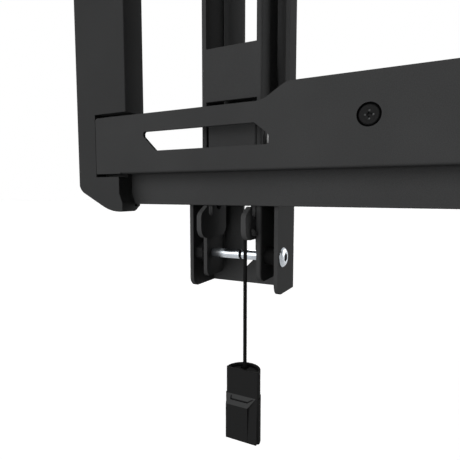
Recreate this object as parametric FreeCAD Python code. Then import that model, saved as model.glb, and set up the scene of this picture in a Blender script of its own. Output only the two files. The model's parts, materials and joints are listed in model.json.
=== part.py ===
import FreeCAD, Part
import math
import os

# Tilting wall mount for a flat screen, seen from the wall side.
# +X is to the right, +Y leads away from the wall, +Z is up, all in millimetres.
# The origin is the middle of the row of wall slots in the upper rail, on the wall plane.

# Layout
RAIL_SPACING = 180.0        # from the lower rail's window line up to the upper rail's
BRACKET_OFFSET = 113.5      # from the middle of the mount to the middle of each bracket
LOWER_LINE = -RAIL_SPACING  # height of the lower rail's window line

# Rails: one bent sheet each, a plate at the wall and a lip set back from it
RAIL_SHEET = 2.2
PLATE_HALF = 206.6
PLATE_BELOW = 19.35         # from the window line to the bent edge
PLATE_ABOVE = 17.05         # from the window line to the free edge at the sides
CENTRE_RISE = 8.4           # how much taller the middle of the plate is
CENTRE_HALF = 74.0
CENTRE_STEP_RUN = 13.3
CENTRE_STEP_ROUND = 13.0
LIP_SETBACK = 12.6
LIP_REACH = 19.9
LIP_IN_FRAME = 3.0          # how far each end of the lip enters its side frame
RAIL_BEND = 1.0             # inside radius of the rail's bends
RAIL_OUTER_BEND = 1.5
PLATE_CORNER = 2.0

# Windows in the rails
WINDOW_HEIGHT = 11.9
WINDOW_INNER = 83.4         # nearest edge to the middle of the mount
WINDOW_LENGTH = 83.4
WINDOW_OUTER_SLANT = 9.2
WINDOW_INNER_SLANT = 8.6
WINDOW_OUTER_STEP = 2.9
WINDOW_INNER_STEP = 5.2
WINDOW_ROUND = 1.4

# Wall slots in the upper rail
WALL_SLOT_PITCH = 50.0
WALL_SLOT_COUNT = 3
WALL_SLOT_LENGTH = 24.0
WALL_SLOT_WIDTH = 8.5

# Side frames: moulded uprights that take the ends of both rails
FRAME_BEYOND = 16.6         # from the plate's end to the frame's outer edge
FRAME_OVERLAP = 26.0        # from the plate's end to the frame's inner edge
FRAME_NECK = 6.8            # how far the inner edge stands back beside the lips
FRAME_TOE = 4.4             # how far it stands back at the foot
FRAME_DEPTH = 17.7
FRAME_BELOW = 44.0          # from a rail's window line to the frame's end
FRAME_CORNER_RISE = 14.4
FRAME_CORNER_RUN = 28.1
FRAME_CORNER_ROUND = 9.0
FRAME_FOOT_ROUND = 30.0
FRAME_FOOT_HEIGHT = 6.0
FRAME_FOOT_SLOPE = 5.6
FRAME_REAR_CHAMFER = 5.1    # along the frame's depth
FRAME_REAR_DROP = 3.7       # across its outer edge and its ends
FRAME_FRONT_ROUND = 0.8
FRAME_NECK_ROUND = 3.0
FRAME_TOE_ROUND = 2.0
FRAME_GAP_FREE = 2.4        # gap past the plate's free edge
FRAME_GAP_BENT = 2.0        # gap past the plate's bent edge
FRAME_GAP_END = 0.3
FRAME_GAP_DEPTH = 9.0       # of the gaps above and below the plate
FRAME_SLOT_GAP = 0.3        # round the lip in its slot
FRAME_SLOT_END = 1.6        # past the lip's edge

# Spirit level behind the lower rail
LEVEL_SCREW_X = 32.8
LEVEL_SCREW_UP = 5.15       # above the window line
LEVEL_SCREW_HEAD = 4.8
LEVEL_SCREW_SHANK = 2.45
LEVEL_SCREW_LENGTH = 10.5
LEVEL_SCREW_SUNK = 0.35
LEVEL_SCREW_RIM = 0.4       # chamfer round its head
LEVEL_SINK_RADIUS = 5.7
LEVEL_SINK_DEPTH = 1.3
LEVEL_CROSS_REACH = 3.2     # of the cross recess, where its sloping ends meet the plate's face
LEVEL_CROSS_FLOOR = 0.6
LEVEL_CROSS_HALF = 0.53
LEVEL_CROSS_DEPTH = 1.7     # below the plate's face
LEVEL_HALF = 41.0
LEVEL_HEIGHT = 15.0
LEVEL_DEPTH = 9.2
LEVEL_ROUND = 3.0
VIAL_RADIUS = 3.4
VIAL_HALF = 17.0
VIAL_GAP = 0.3

# Hook channel: the inner channel that hangs on the rails
HOOK_WIDTH = 39.5
HOOK_SHEET = 2.5
HOOK_GAP = 0.3              # from the lip's back to the hook channel's front
HOOK_DEPTH = 23.7
HOOK_BELOW = 84.5           # from the lower window line to its lower end
HOOK_ABOVE = 50.5           # from the upper window line to its top
HOOK_ROUND = 5.0
HOOK_BEND = 1.2
HOOK_OUTER_BEND = 1.4
BRIDGE_UP = 22.85           # from the lower window line to the web's lower edge
BRIDGE_HEIGHT = 31.0
HOOK_WINDOW = 94.0
HOOK_TOP_BRIDGE = 42.0
HOOK_WINDOW_BORDER = 0.5    # web left beside each window, past the flange
EAR_FRONT = 6.6             # from the lip's front to the tip of the hook
EAR_NOTCH = 1.2             # from the lip's front to the notch's front
EAR_BITE = 11.0             # how far the hook reaches over the lip
EAR_SEAT_GAP = 0.2
EAR_ROUND = 2.5
EAR_NOTCH_ROUND = 1.0

# TV channel: the outer channel that bolts to the screen
TV_WIDTH = 60.0
TV_SHEET = 2.5
TV_BACK = 45.6              # from the wall to its screen side
TV_FLANGE_DEEP = 29.4
TV_FLANGE_SHALLOW = 13.4
TV_BELOW = 91.85            # from the lower window line to its lower end
TV_END_MARGIN = 8.1         # past the last slot at each end
TV_SLOT_LENGTH = 100.0
TV_SLOT_PITCH = 120.0
TV_SLOT_COUNT = 4
TV_SLOT_WIDTH = 9.2
TV_SLOT_SHIFT = -0.65       # the row of slots from the middle of the web
TV_SLOT_SLANT_ROUND = 0.8
TV_BEND = 0.4
TV_OUTER_BEND = 1.7
TV_ROUND = 6.0
TV_STEP_START = 31.0        # below the lower window line, where the deep flange ends
TV_STEP_RISE = 24.0

# Tilt pivot
PIVOT_OUT = 24.0            # from the wall
PIVOT_DOWN = 69.8           # below the lower window line
PIVOT_GROOVE_X = 3.1
PIVOT_GROOVE_WIDTH = 1.9
PIVOT_GROOVE_DEPTH = 1.0
BOLT_RADIUS = 3.0
BOLT_HOLE_GAP = 0.05
HEAD_RADIUS = 5.9
HEAD_HEIGHT = 2.0
HEAD_RIM = 0.4
HEAD_FLAT_SHARE = 0.45      # flat crown, of the head's radius
HEAD_BELLY_SHARE = 0.8      # point on the round, of the radius and of the height
SOCKET_FLATS = 4.6
SOCKET_DEPTH = 1.4
NUT_FLATS = 10.0
NUT_HEIGHT = 5.0
BUSH_RADIUS = 5.0
BUSH_GAP = 0.1

# Latch: a bent plate that slides up to lock the lower lip
LATCH_WIDTH = 32.0
LATCH_SHEET = 3.0
LATCH_TRAVEL = 6.0
LATCH_GAP = 0.7             # from the lip's back to the latch web
LATCH_DEPTH = 18.0
LATCH_TOP = 8.95            # above the lower window line
LATCH_WEB_HEIGHT = 38.5
LATCH_BEND = 0.6
LATCH_OUTER_BEND = 1.4
LATCH_LOW = 58.85           # below the lower window line
LATCH_ROUND = 6.5
LATCH_TOP_ROUND = 4.0
NOSE_ROUND = 4.5
NOTCH_FRONT_GAP = 1.5       # from the notch's front to the lip
NOTCH_DEPTH = 6.1
TOOTH_GAP = 0.4             # from the lip's edge to the tooth's top
TOOTH_LENGTH = 1.6
TOOTH_ROUND = 0.8
NOTCH_ROUND_SHARE = 0.48    # of the notch's width
NOSE_OUT = 2.0              # from the wall
NOSE_SLOPE = 4.6            # how far the slope drops from the tooth to the nose
GUIDE_OUT = 23.7            # guide bolt and guide pin, from the wall
GUIDE_BOLT_DOWN = 0.85      # below the lower window line
GUIDE_PIN_DOWN = 32.95
GUIDE_SLOT_GAP = 0.2
PIN_HEAD_RADIUS = 4.2
PIN_HEAD_HEIGHT = 1.2

# Pull cord and tab
CORD_RADIUS = 1.1
CORD_X = 11.6               # from the middle of the bracket
CORD_OUT = 11.0             # from the wall
CORD_DOWN = 54.55           # its hole in the latch, below the lower window line
CORD_END_DOWN = 145.2       # where it ends in the tab, below the lower window line
CORD_HOLE_GAP = 0.25
CORD_BEND_SHARE = 0.45      # of its short end, for the radius of its bend
KNOT_RADIUS = 1.9
KNOT_SPAN = 3.6             # between the middles of its two round ends
KNOT_LEAN = 0.5             # how far those middles lie outside the latch
KNOT_TILT = 20.0            # how far its far end hangs, in degrees
TAB_TOP_DOWN = 134.85       # below the lower window line
TAB_HEIGHT = 43.1
TAB_HALF = 10.4
TAB_FRONT = 6.8             # from the cord to the tab's flat front
TAB_SIDE = 1.2              # straight part of each side
TAB_SHIFT = 1.3             # the tab's middle lies this far beside the cord
TAB_ROUND = 1.0
TAB_RECESS = 1.2            # its top lies this far below its rim
TAB_RIM = 0.9
TAB_HOLE_RADIUS = 2.5       # round the cord
GRIP_DROP = 15.8            # from the tab's top to the thumb grip
GRIP_HEIGHT = 6.2           # of the sloping part of the grip
GRIP_PROUD = 1.6            # how far the grip stands out
GRIP_WIDER = 0.5            # how far the tab's sides step out at the grip
GRIP_END = 4.3              # from the tab's middle to the grip's end, at its foot
GRIP_SLANT = 4.6            # how far that end slants out, going up
GRIP_GROOVE = 0.9           # width of the groove in the slope
GRIP_GROOVE_DEPTH = 0.6
GRIP_GROOVE_DROP = 2.5      # from the grip's top to its groove
GRIP_MARGIN = 3.2           # from the grip's left end to the groove
GRIP_MARGIN_RIGHT = 1.0
GRIP_GROOVE_RUN = 4.0       # how far the groove's right end slants out

SIDES = {"left": -BRACKET_OFFSET, "right": BRACKET_OFFSET}

# Sizes that follow from the ones above
FRAME_OUTER = PLATE_HALF + FRAME_BEYOND
FRAME_INNER = PLATE_HALF - FRAME_OVERLAP
FRAME_INNER_END = FRAME_INNER + FRAME_NECK
FRAME_FOOT = FRAME_INNER + FRAME_TOE
LIP_BACK = LIP_SETBACK + RAIL_SHEET
LIP_EDGE = LOWER_LINE - PLATE_BELOW - LIP_REACH
UPPER_LIP_EDGE = PLATE_BELOW + LIP_REACH
LIP_HALF = FRAME_FOOT + LIP_IN_FRAME
HOOK_FRONT = LIP_BACK + HOOK_GAP
HOOK_REAR = HOOK_FRONT + HOOK_DEPTH
HOOK_BOTTOM = LOWER_LINE - HOOK_BELOW
HOOK_TOP = HOOK_ABOVE
HOOK_HALF = HOOK_WIDTH / 2
TV_HALF = TV_WIDTH / 2
TV_BOTTOM = LOWER_LINE - TV_BELOW
TV_TOP = TV_BOTTOM + 2 * TV_END_MARGIN + (TV_SLOT_COUNT - 1) * TV_SLOT_PITCH + TV_SLOT_LENGTH
PIVOT_Z = LOWER_LINE - PIVOT_DOWN
LATCH_FRONT = LIP_BACK + LATCH_GAP
LATCH_REAR = LATCH_FRONT + LATCH_DEPTH
LATCH_HALF = LATCH_WIDTH / 2
LATCH_TOP_Z = LOWER_LINE + LATCH_TOP
LATCH_WEB_LOW = LATCH_TOP_Z - LATCH_WEB_HEIGHT
TOOTH_TOP = LIP_EDGE - TOOTH_GAP
GUIDE_BOLT_Z = LOWER_LINE - GUIDE_BOLT_DOWN
GUIDE_PIN_Z = LOWER_LINE - GUIDE_PIN_DOWN
TAB_TOP = LOWER_LINE - TAB_TOP_DOWN


def vector(x, y, z):
    return FreeCAD.Vector(x, y, z)


def along_x(u, v):
    """Place a profile drawn as (y, z) in the plane x = 0."""
    return vector(0, u, v)


def along_y(u, v):
    """Place a profile drawn as (x, z) in the plane y = 0."""
    return vector(u, 0, v)


def along_z(u, v):
    """Place a profile drawn as (x, y) in the plane z = 0."""
    return vector(u, v, 0)


def outline(corners, place):
    """Closed wire through corners (u, v, radius), each corner rounded by its radius."""
    count = len(corners)
    points = [place(u, v) for u, v, _ in corners]
    starts = []
    ends = []
    edges = []
    for index, (_, _, radius) in enumerate(corners):
        here = points[index]
        back = (points[index - 1] - here).normalize()
        ahead = (points[(index + 1) % count] - here).normalize()
        if radius <= 0:
            starts.append(here)
            ends.append(here)
            continue
        half = back.getAngle(ahead) / 2
        reach = radius / math.tan(half)
        middle = (back + ahead).normalize() * (radius / math.sin(half) - radius)
        starts.append(here + back * reach)
        ends.append(here + ahead * reach)
        edges.append((index, Part.Arc(starts[-1], here + middle, ends[-1]).toShape()))
    arcs = dict(edges)
    wire = []
    for index in range(count):
        if index in arcs:
            wire.append(arcs[index])
        following = starts[(index + 1) % count]
        if ends[index].distanceToPoint(following) > 1e-6:
            wire.append(Part.makeLine(ends[index], following))
    return Part.Wire(wire)


def solid_of(wire, low, high, direction):
    """Extrude a closed wire from low to high along a unit direction."""
    face = Part.Face(wire)
    face.translate(direction * low)
    return face.extrude(direction * (high - low))


def prism_x(corners, low, high):
    return solid_of(outline(corners, along_x), low, high, vector(1, 0, 0))


def prism_y(corners, low, high):
    return solid_of(outline(corners, along_y), low, high, vector(0, 1, 0))


def prism_z(corners, low, high):
    return solid_of(outline(corners, along_z), low, high, vector(0, 0, 1))


def block(x_low, x_high, y_low, y_high, z_low, z_high):
    size = (x_high - x_low, y_high - y_low, z_high - z_low)
    return Part.makeBox(*size, vector(x_low, y_low, z_low))


def rod_x(radius, low, high, y, z):
    return Part.makeCylinder(radius, high - low, vector(low, y, z), vector(1, 0, 0))


def slot_across_x(radius, low_z, high_z, y, half):
    """Slot through pieces along X, with round ends centred on low_z and high_z."""
    ends = rod_x(radius, -half, half, y, low_z).fuse(rod_x(radius, -half, half, y, high_z))
    return ends.fuse(block(-half, half, y - radius, y + radius, low_z, high_z))


def slot_through_y(radius, low, high, across, low_y, high_y, upright):
    """Slot through a wall along Y, upright or level, with round ends."""
    length = high_y - low_y
    ends = []
    for place in (low, high):
        centre = vector(across, low_y, place) if upright else vector(place, low_y, across)
        ends.append(Part.makeCylinder(radius, length, centre, vector(0, 1, 0)))
    if upright:
        middle = block(across - radius, across + radius, low_y, high_y, low, high)
    else:
        middle = block(low, high, low_y, high_y, across - radius, across + radius)
    return middle.fuse(ends)


def channel_profile(half, web_outer, free, sheet, bend, outer_bend):
    """U profile in X and Y with a rounded web at web_outer and flanges up to free."""
    inward = math.copysign(sheet, free - web_outer)
    inner = half - sheet
    return [
        (-half, free, 0), (-half, web_outer, outer_bend), (half, web_outer, outer_bend),
        (half, free, 0), (inner, free, 0), (inner, web_outer + inward, bend),
        (-inner, web_outer + inward, bend), (-inner, free, 0),
    ]


def rail_section():
    """Section of a rail in Y and Z round its window line: plate, step back and lip."""
    outer = RAIL_OUTER_BEND
    top = PLATE_ABOVE + CENTRE_RISE
    step = -PLATE_BELOW
    lip = step - LIP_REACH
    edge = RAIL_SHEET / 4
    return [
        (0, top, 0), (0, step, outer), (LIP_SETBACK, step, RAIL_BEND),
        (LIP_SETBACK, lip, edge), (LIP_BACK, lip, edge),
        (LIP_BACK, step + RAIL_SHEET, outer), (RAIL_SHEET, step + RAIL_SHEET, RAIL_BEND),
        (RAIL_SHEET, top, 0),
    ]


def rail_front():
    """Front outline of a rail in X and Z, with the taller middle between two S bends."""
    low = -PLATE_BELOW - LIP_REACH - RAIL_SHEET
    high = PLATE_ABOVE + CENTRE_RISE
    shoulder = CENTRE_HALF + CENTRE_STEP_RUN
    return [
        (-PLATE_HALF, low, 0), (-PLATE_HALF, PLATE_ABOVE, PLATE_CORNER),
        (-shoulder, PLATE_ABOVE, CENTRE_STEP_ROUND), (-CENTRE_HALF, high, CENTRE_STEP_ROUND),
        (CENTRE_HALF, high, CENTRE_STEP_ROUND), (shoulder, PLATE_ABOVE, CENTRE_STEP_ROUND),
        (PLATE_HALF, PLATE_ABOVE, PLATE_CORNER), (PLATE_HALF, low, 0),
    ]


def rail_window(hand):
    """Window in a rail, slanted at both ends; hand is -1 on the left and 1 on the right."""
    half = WINDOW_HEIGHT / 2
    near = hand * WINDOW_INNER
    far = hand * (WINDOW_INNER + WINDOW_LENGTH)
    corners = [
        (far, half, WINDOW_ROUND), (far, half - WINDOW_OUTER_STEP, WINDOW_ROUND),
        (far - hand * WINDOW_OUTER_SLANT, -half, WINDOW_ROUND), (near, -half, WINDOW_ROUND),
        (near, -half + WINDOW_INNER_STEP, WINDOW_ROUND),
        (near + hand * WINDOW_INNER_SLANT, half, WINDOW_ROUND),
    ]
    return prism_y(corners, -RAIL_SHEET, 2 * RAIL_SHEET)


def rail():
    """One rail round its own window line, lip downwards."""
    body = prism_x(rail_section(), -LIP_HALF, LIP_HALF)
    for hand in (-1, 1):
        ends = sorted((hand * PLATE_HALF, hand * (LIP_HALF - RAIL_SHEET)))
        body = body.fuse(block(*ends, 0, RAIL_SHEET, -PLATE_BELOW, PLATE_ABOVE))
    body = body.common(prism_y(rail_front(), -RAIL_SHEET, LIP_BACK + RAIL_SHEET))
    for hand in (-1, 1):
        body = body.cut(rail_window(hand))
    return body.removeSplitter()


def lower_rail():
    body = rail()
    for x in (-LEVEL_SCREW_X, LEVEL_SCREW_X):
        place = vector(x, 0, LEVEL_SCREW_UP)
        sink = Part.makeCylinder(LEVEL_SINK_RADIUS, LEVEL_SINK_DEPTH, place, vector(0, 1, 0))
        hole = Part.makeCylinder(LEVEL_SCREW_SHANK + BOLT_HOLE_GAP, RAIL_SHEET, place,
                                 vector(0, 1, 0))
        body = body.cut([sink, hole])
    body.translate(vector(0, 0, LOWER_LINE))
    return body


def upper_rail():
    body = rail()
    body.rotate(vector(0, 0, 0), vector(0, 1, 0), 180)
    radius = WALL_SLOT_WIDTH / 2
    straight = WALL_SLOT_LENGTH / 2 - radius
    for number in range(WALL_SLOT_COUNT):
        x = (number - (WALL_SLOT_COUNT - 1) / 2) * WALL_SLOT_PITCH
        body = body.cut(slot_through_y(radius, x - straight, x + straight, 0,
                                       -RAIL_SHEET, 2 * RAIL_SHEET, False))
    return body


def frame_half(middle):
    """Corners of the left frame's lower half in X and Z, from its foot outwards and up."""
    end = LOWER_LINE - FRAME_BELOW
    turn = LOWER_LINE + PLATE_ABOVE / 2
    return [
        (-FRAME_INNER, middle, 0), (-FRAME_INNER, turn, FRAME_NECK_ROUND),
        (-FRAME_INNER_END, turn - FRAME_NECK, FRAME_NECK_ROUND),
        (-FRAME_INNER_END, end + FRAME_FOOT_HEIGHT + FRAME_FOOT_SLOPE, FRAME_TOE_ROUND),
        (-FRAME_FOOT, end + FRAME_FOOT_HEIGHT, FRAME_TOE_ROUND),
        (-FRAME_FOOT, end, FRAME_TOE_ROUND / 2),
        (-FRAME_OUTER + FRAME_CORNER_RUN, end, FRAME_FOOT_ROUND),
        (-FRAME_OUTER, end + FRAME_CORNER_RISE, FRAME_CORNER_ROUND),
        (-FRAME_OUTER, middle, 0),
    ]


def frame_pockets():
    """Space in the left frame for the lower rail's end: plate recess, step and lip slot."""
    bent = LOWER_LINE - PLATE_BELOW
    free = LOWER_LINE + PLATE_ABOVE
    end = -PLATE_HALF - FRAME_GAP_END
    plate = block(end, -FRAME_INNER + RAIL_SHEET, -RAIL_SHEET, RAIL_SHEET,
                  bent - FRAME_GAP_BENT, free + FRAME_GAP_FREE)
    below = block(end, -FRAME_INNER + RAIL_SHEET, 0, FRAME_GAP_DEPTH, bent - FRAME_GAP_BENT, bent)
    above = block(end, -FRAME_INNER + RAIL_SHEET, 0, FRAME_GAP_DEPTH, free, free + FRAME_GAP_FREE)
    inner = -LIP_HALF - FRAME_GAP_END
    step = block(inner, -FRAME_INNER + RAIL_SHEET, 0, LIP_BACK + FRAME_SLOT_GAP,
                 bent - FRAME_SLOT_GAP, bent + RAIL_SHEET + FRAME_SLOT_GAP)
    lip = block(inner, -FRAME_INNER + RAIL_SHEET, LIP_SETBACK - FRAME_SLOT_GAP,
                LIP_BACK + FRAME_SLOT_GAP, LIP_EDGE - FRAME_SLOT_END, bent + RAIL_SHEET)
    return plate.fuse([below, above, step, lip])


def side_frame_left():
    """Left upright, the same at both ends, chamfered behind and eased in front."""
    middle = LOWER_LINE / 2
    lower = prism_y(frame_half(middle), 0, FRAME_DEPTH)
    mirrored = lower.mirror(vector(0, 0, middle), vector(0, 0, 1))
    body = lower.fuse(mirrored).removeSplitter()
    low = LOWER_LINE - FRAME_BELOW
    high = 2 * middle - low
    shoulder = FRAME_DEPTH - FRAME_REAR_CHAMFER
    side = [
        (0, low, 0), (shoulder, low, 0), (FRAME_DEPTH, low + FRAME_REAR_DROP, 0),
        (FRAME_DEPTH, high - FRAME_REAR_DROP, 0), (shoulder, high, 0), (0, high, 0),
    ]
    plan = [
        (-FRAME_OUTER, 0, FRAME_FRONT_ROUND), (-FRAME_OUTER, shoulder, 0),
        (-FRAME_OUTER + FRAME_REAR_DROP, FRAME_DEPTH, 0), (-FRAME_INNER, FRAME_DEPTH, 0),
        (-FRAME_INNER, 0, FRAME_FRONT_ROUND),
    ]
    body = body.common(prism_x(side, -FRAME_OUTER, -FRAME_INNER))
    body = body.common(prism_z(plan, low, high))
    pocket = frame_pockets()
    body = body.cut(pocket)
    return body.cut(pocket.mirror(vector(0, 0, middle), vector(0, 0, 1)))


def side_frame_right():
    return side_frame_left().mirror(vector(0, 0, 0), vector(1, 0, 0))


def turned_y(profile, x, z):
    """Solid turned about an axis along Y; profile holds (radius, y) from the axis round."""
    points = [vector(x + radius, y, z) for radius, y in profile]
    wire = Part.makePolygon(points + points[:1])
    return Part.Face(wire).revolve(vector(x, 0, z), vector(0, 1, 0), 360)


def level_screws():
    """Two sunk screws that hold the spirit level, each with a cross recess in its flat head."""
    z = LOWER_LINE + LEVEL_SCREW_UP
    arm = LEVEL_CROSS_REACH
    wing = LEVEL_CROSS_HALF
    screws = []
    for x in (-LEVEL_SCREW_X, LEVEL_SCREW_X):
        profile = [(0, LEVEL_SCREW_SUNK), (LEVEL_SCREW_HEAD - LEVEL_SCREW_RIM, LEVEL_SCREW_SUNK),
                   (LEVEL_SCREW_HEAD, LEVEL_SCREW_SUNK + LEVEL_SCREW_RIM),
                   (LEVEL_SCREW_HEAD, LEVEL_SINK_DEPTH), (LEVEL_SCREW_SHANK, LEVEL_SINK_DEPTH),
                   (LEVEL_SCREW_SHANK, LEVEL_SCREW_LENGTH), (0, LEVEL_SCREW_LENGTH)]
        cross = block(x - arm, x + arm, 0, LEVEL_CROSS_DEPTH, z - wing, z + wing)
        cross = cross.fuse(block(x - wing, x + wing, 0, LEVEL_CROSS_DEPTH, z - arm, z + arm))
        cone = Part.makeCone(arm, LEVEL_CROSS_FLOOR, LEVEL_CROSS_DEPTH, vector(x, 0, z),
                             vector(0, 1, 0))
        screws.append(turned_y(profile, x, z).cut(cross.common(cone)))
    return Part.makeCompound(screws)


def vial_axis():
    """Distance of the vial's axis from the wall, and its height."""
    return RAIL_SHEET + LEVEL_DEPTH - VIAL_RADIUS - VIAL_GAP, LOWER_LINE + LEVEL_SCREW_UP


def level_holder():
    """Moulded holder behind the lower rail, with a trough for the vial."""
    half = LEVEL_HEIGHT / 2
    y, z = vial_axis()
    corners = [(-LEVEL_HALF, z - half, LEVEL_ROUND), (LEVEL_HALF, z - half, LEVEL_ROUND),
               (LEVEL_HALF, z + half, LEVEL_ROUND), (-LEVEL_HALF, z + half, LEVEL_ROUND)]
    body = prism_y(corners, RAIL_SHEET, RAIL_SHEET + LEVEL_DEPTH)
    trough = VIAL_RADIUS + VIAL_GAP
    reach = VIAL_HALF
    body = body.cut(rod_x(trough, -reach, reach, y, z))
    body = body.cut(block(-reach, reach, y, y + LEVEL_DEPTH, z - trough, z + trough))
    for x in (-LEVEL_SCREW_X, LEVEL_SCREW_X):
        hole = Part.makeCylinder(LEVEL_SCREW_SHANK + BOLT_HOLE_GAP, LEVEL_DEPTH,
                                 vector(x, RAIL_SHEET, z), vector(0, 1, 0))
        body = body.cut(hole)
    return body


def level_vial():
    y, z = vial_axis()
    return rod_x(VIAL_RADIUS, -VIAL_HALF, VIAL_HALF, y, z)


def hook_ear_corners():
    """Hook that drops over the upper lip, in Y and Z."""
    tip = UPPER_LIP_EDGE - EAR_BITE
    roof = UPPER_LIP_EDGE + EAR_SEAT_GAP
    front = LIP_SETBACK - EAR_FRONT
    notch = LIP_SETBACK - EAR_NOTCH
    root = HOOK_FRONT + HOOK_SHEET + HOOK_BEND
    return [
        (front, tip, EAR_ROUND), (front, HOOK_TOP, EAR_ROUND), (root, HOOK_TOP, 0),
        (root, tip, 0), (HOOK_FRONT, tip, 0), (HOOK_FRONT, roof, EAR_NOTCH_ROUND),
        (notch, roof, EAR_NOTCH_ROUND), (notch, tip, EAR_NOTCH_ROUND),
    ]


def hook_windows():
    """Openings in the hook channel's web: open foot, long window, open head."""
    half = HOOK_HALF - HOOK_SHEET - HOOK_WINDOW_BORDER
    bridge = LOWER_LINE + BRIDGE_UP
    top = bridge + BRIDGE_HEIGHT + HOOK_WINDOW
    depth = HOOK_SHEET + HOOK_BEND
    ranges = [
        (HOOK_BOTTOM - 1, bridge), (bridge + BRIDGE_HEIGHT, top),
        (top + HOOK_TOP_BRIDGE, HOOK_TOP + 1),
    ]
    return [block(-half, half, HOOK_FRONT - 1, HOOK_FRONT + depth, low, high)
            for low, high in ranges]


def hook_channel():
    """Inner channel with its hooks, in the bracket's own X."""
    profile = channel_profile(HOOK_HALF, HOOK_FRONT, HOOK_REAR, HOOK_SHEET, HOOK_BEND,
                              HOOK_OUTER_BEND)
    body = prism_z(profile, HOOK_BOTTOM, HOOK_TOP)
    side = [
        (HOOK_FRONT, HOOK_BOTTOM, HOOK_ROUND), (HOOK_REAR, HOOK_BOTTOM, HOOK_ROUND),
        (HOOK_REAR, HOOK_TOP, HOOK_ROUND), (HOOK_FRONT, HOOK_TOP, 0),
    ]
    body = body.common(prism_x(side, -HOOK_HALF, HOOK_HALF))
    for window in hook_windows():
        body = body.cut(window)
    for low in (-HOOK_HALF, HOOK_HALF - HOOK_SHEET):
        body = body.fuse(prism_x(hook_ear_corners(), low, low + HOOK_SHEET))
    holes = [
        (PIVOT_OUT, PIVOT_Z), (GUIDE_OUT, GUIDE_BOLT_Z), (GUIDE_OUT, GUIDE_PIN_Z),
    ]
    for y, z in holes:
        body = body.cut(rod_x(BOLT_RADIUS + BOLT_HOLE_GAP, -HOOK_WIDTH, HOOK_WIDTH, y, z))
    return body.removeSplitter()


def outer_screw_slot():
    """Lowest screen slot, with a slanted lower end and a round upper one."""
    half = TV_SLOT_WIDTH / 2
    low = TV_BOTTOM + TV_END_MARGIN
    corners = [
        (-half, low, TV_SLOT_SLANT_ROUND), (half, low + 2 * half, TV_SLOT_SLANT_ROUND),
        (half, low + 4 * half, 0), (-half, low + 4 * half, 0),
    ]
    slanted = prism_y(corners, TV_BACK - 2 * TV_SHEET, TV_BACK + TV_SHEET)
    straight = slot_through_y(half, low + 3 * half, low + TV_SLOT_LENGTH - half, 0,
                              TV_BACK - 2 * TV_SHEET, TV_BACK + TV_SHEET, True)
    return slanted.fuse(straight)


def tv_channel():
    """Outer channel with deep flanges at the pivot and one row of screw slots."""
    deep = TV_BACK - TV_FLANGE_DEEP
    shallow = TV_BACK - TV_FLANGE_SHALLOW
    step = LOWER_LINE - TV_STEP_START
    profile = channel_profile(TV_HALF, TV_BACK, deep, TV_SHEET, TV_BEND, TV_OUTER_BEND)
    body = prism_z(profile, TV_BOTTOM, TV_TOP)
    side = [
        (TV_BACK, TV_BOTTOM, 0), (deep, TV_BOTTOM, TV_ROUND), (deep, step, TV_ROUND),
        (shallow, step + TV_STEP_RISE, TV_ROUND), (shallow, TV_TOP, TV_ROUND),
        (TV_BACK, TV_TOP, 0),
    ]
    body = body.common(prism_x(side, -TV_HALF, TV_HALF))
    lowest = outer_screw_slot()
    highest = lowest.copy()
    highest.rotate(vector(0, 0, (TV_BOTTOM + TV_TOP) / 2), vector(0, 1, 0), 180)
    slots = [lowest, highest]
    radius = TV_SLOT_WIDTH / 2
    for number in range(1, TV_SLOT_COUNT - 1):
        low = TV_BOTTOM + TV_END_MARGIN + number * TV_SLOT_PITCH
        slots.append(slot_through_y(radius, low + radius, low + TV_SLOT_LENGTH - radius, 0,
                                    TV_BACK - 2 * TV_SHEET, TV_BACK + TV_SHEET, True))
    for slot in slots:
        slot.translate(vector(TV_SLOT_SHIFT, 0, 0))
    body = body.cut(slots)
    return body.cut(rod_x(BOLT_RADIUS + BOLT_HOLE_GAP, -TV_WIDTH, TV_WIDTH, PIVOT_OUT, PIVOT_Z))


def hexagon(flats, low, high, y, z):
    """Hexagonal prism along X, measured across its flats."""
    radius = flats / math.sqrt(3)
    corners = []
    for number in range(6):
        angle = math.radians(60 * number)
        corners.append((y + radius * math.sin(angle), z + radius * math.cos(angle), 0))
    return prism_x(corners, low, high)


def button_bolt(seat, end, y, z):
    """Button-head bolt along X, its head on a face at x = seat, its shank down to x = end."""
    crown = seat + HEAD_HEIGHT
    low_rim = vector(seat, y + HEAD_RADIUS, z)
    high_rim = vector(seat + HEAD_RIM, y + HEAD_RADIUS, z)
    flat = vector(crown, y + HEAD_RADIUS * HEAD_FLAT_SHARE, z)
    belly = vector(seat + HEAD_HEIGHT * HEAD_BELLY_SHARE, y + HEAD_RADIUS * HEAD_BELLY_SHARE, z)
    edges = [
        Part.makeLine(vector(seat, y, z), low_rim), Part.makeLine(low_rim, high_rim),
        Part.Arc(high_rim, belly, flat).toShape(), Part.makeLine(flat, vector(crown, y, z)),
        Part.makeLine(vector(crown, y, z), vector(seat, y, z)),
    ]
    head = Part.Face(Part.Wire(edges)).revolve(vector(0, y, z), vector(1, 0, 0), 360)
    body = head.fuse(rod_x(BOLT_RADIUS, end, seat, y, z))
    socket = hexagon(SOCKET_FLATS, crown - SOCKET_DEPTH, crown + 1, y, z)
    return body.cut(socket).removeSplitter()


def tilt_bolt():
    """Bolt through both channels, grooved in the middle, its end flush with the far flange."""
    body = button_bolt(TV_HALF, -TV_HALF, PIVOT_OUT, PIVOT_Z)
    low = PIVOT_GROOVE_X - PIVOT_GROOVE_WIDTH / 2
    high = low + PIVOT_GROOVE_WIDTH
    ring = rod_x(2 * BOLT_RADIUS, low, high, PIVOT_OUT, PIVOT_Z)
    core = rod_x(BOLT_RADIUS - PIVOT_GROOVE_DEPTH, low, high, PIVOT_OUT, PIVOT_Z)
    return body.cut(ring.cut(core))


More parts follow.
